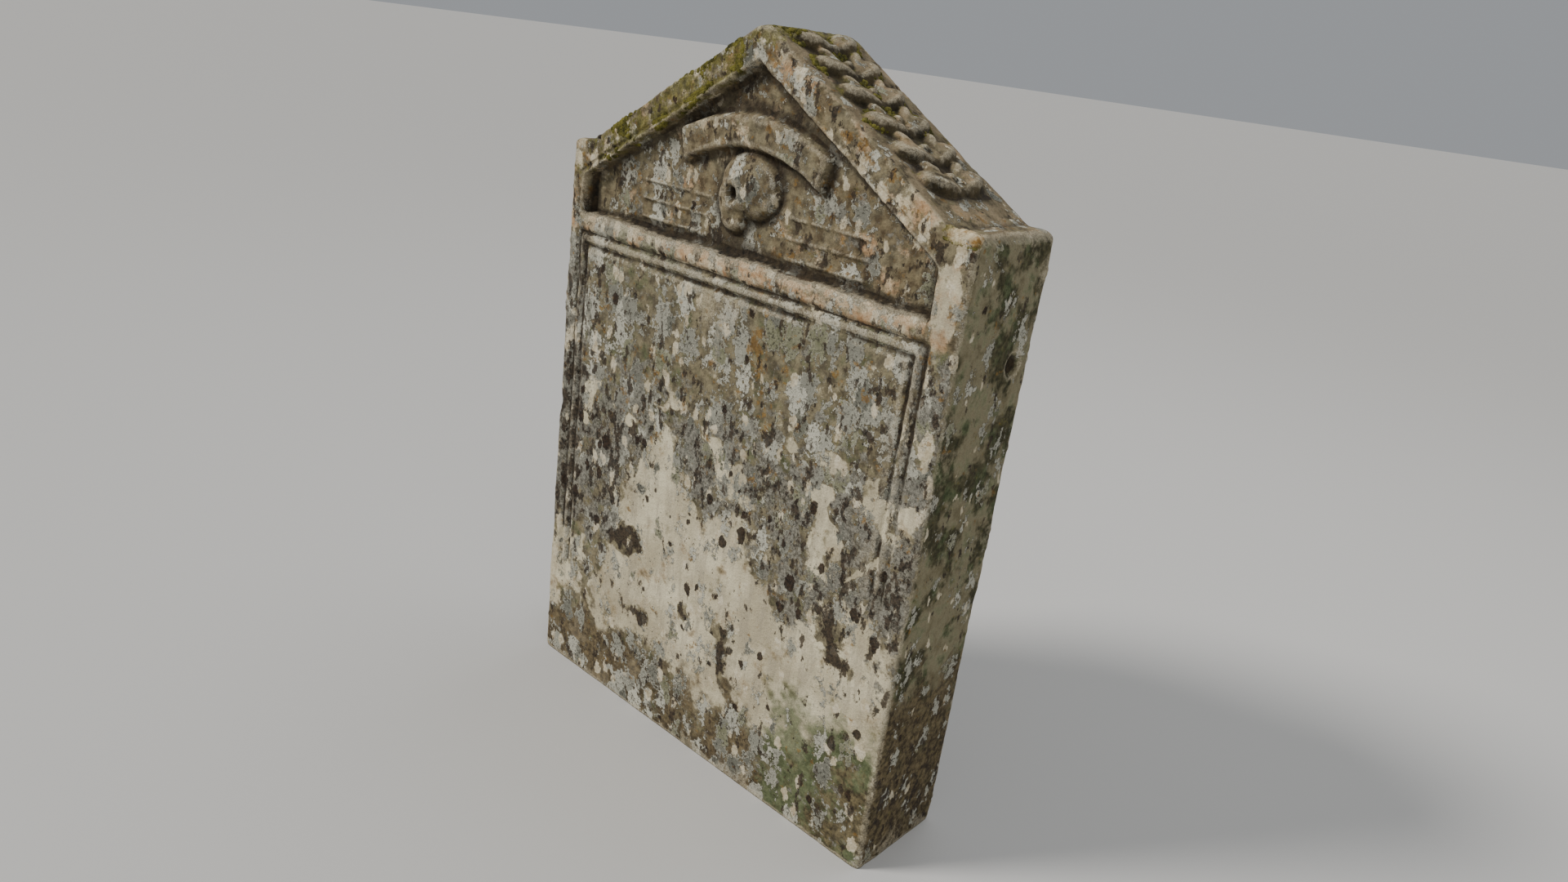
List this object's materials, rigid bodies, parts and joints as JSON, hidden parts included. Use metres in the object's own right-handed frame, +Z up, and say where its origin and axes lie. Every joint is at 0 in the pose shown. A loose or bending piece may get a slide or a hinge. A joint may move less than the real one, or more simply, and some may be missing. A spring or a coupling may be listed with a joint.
{
  "type": "headstone",
  "caption": "Upright stone grave marker with a gabled top, sunk pediment with a skull under an arched ribbon, framed plain panel and leaf-carved slopes.",
  "frame": {"origin": "middle of the flat underside, where the stone is cut off at the ground", "axes": "+Z up, +X along the width, -Y towards the carved front, +Y through the thickness to the back"},
  "size_m": [0.6, 0.147, 0.8898],
  "materials": {
    "stone": "hand-carved pale sandstone, rough and weathered, under grey, olive, brown and orange lichen and moss"
  },
  "bodies": {
    "root": {"headstone": "stone"}
  },
  "joints": []
}
